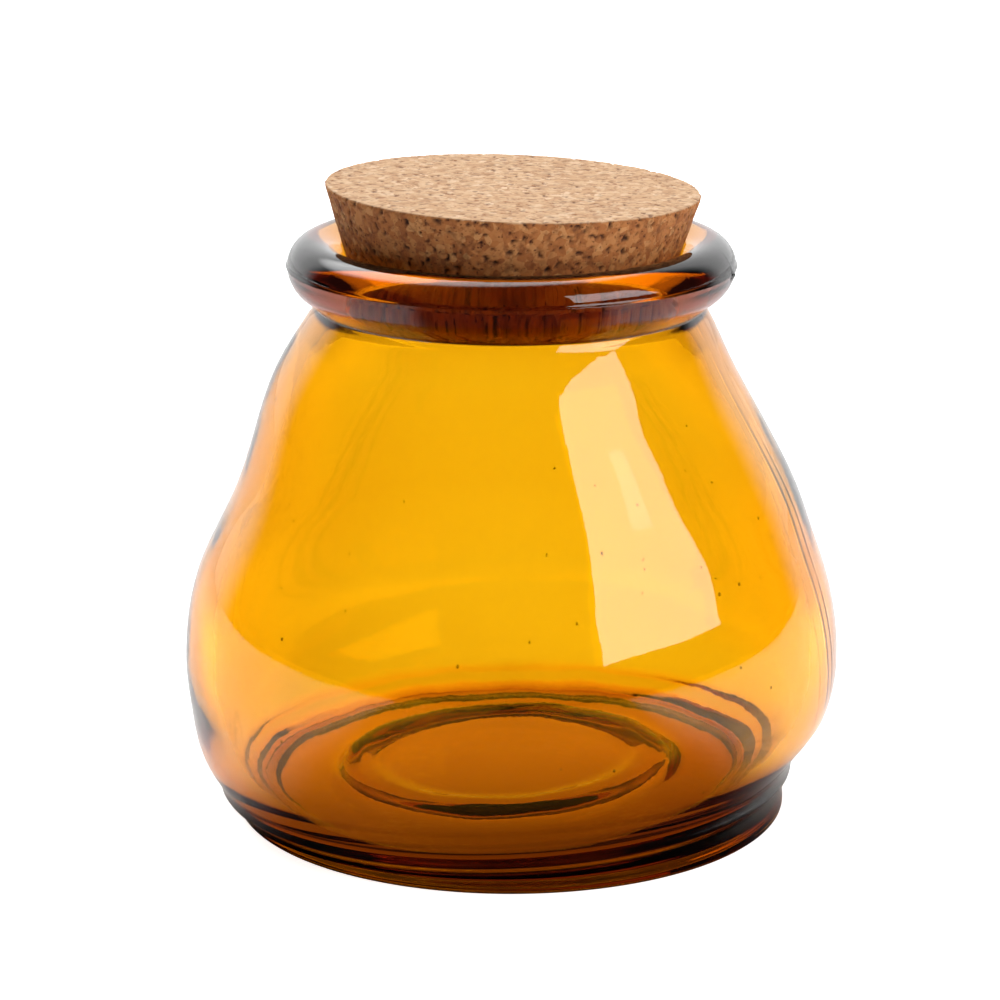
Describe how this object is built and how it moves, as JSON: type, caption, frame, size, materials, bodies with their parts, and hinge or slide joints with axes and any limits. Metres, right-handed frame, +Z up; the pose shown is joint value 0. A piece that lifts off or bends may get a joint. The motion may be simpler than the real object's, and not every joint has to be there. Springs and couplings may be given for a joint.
{
  "type": "stoppered storage jar",
  "caption": "Pear-shaped storage jar of thick amber glass with a rolled lip, a low foot ring and a tapered stopper of pressed cork that lifts out of the mouth.",
  "frame": {"origin": "centre of the foot ring's resting plane", "axes": "+Z up the jar's axis, towards the stopper; the moulded glass is round about Z, and the stopper leans by 2.1 degrees towards +X"},
  "size_m": [0.15, 0.15, 0.1453],
  "materials": {
    "amber_glass": "gloss",
    "cork": "matte"
  },
  "bodies": {
    "jar": {"glass_jar": "amber_glass"},
    "stopper": {"cork_stopper": "cork"}
  },
  "joints": [
    {"name": "stopper_lift", "type": "slide", "parent": "jar", "child": "stopper", "axis": [0, 0, 1], "range_m": [0, 0.06]}
  ]
}
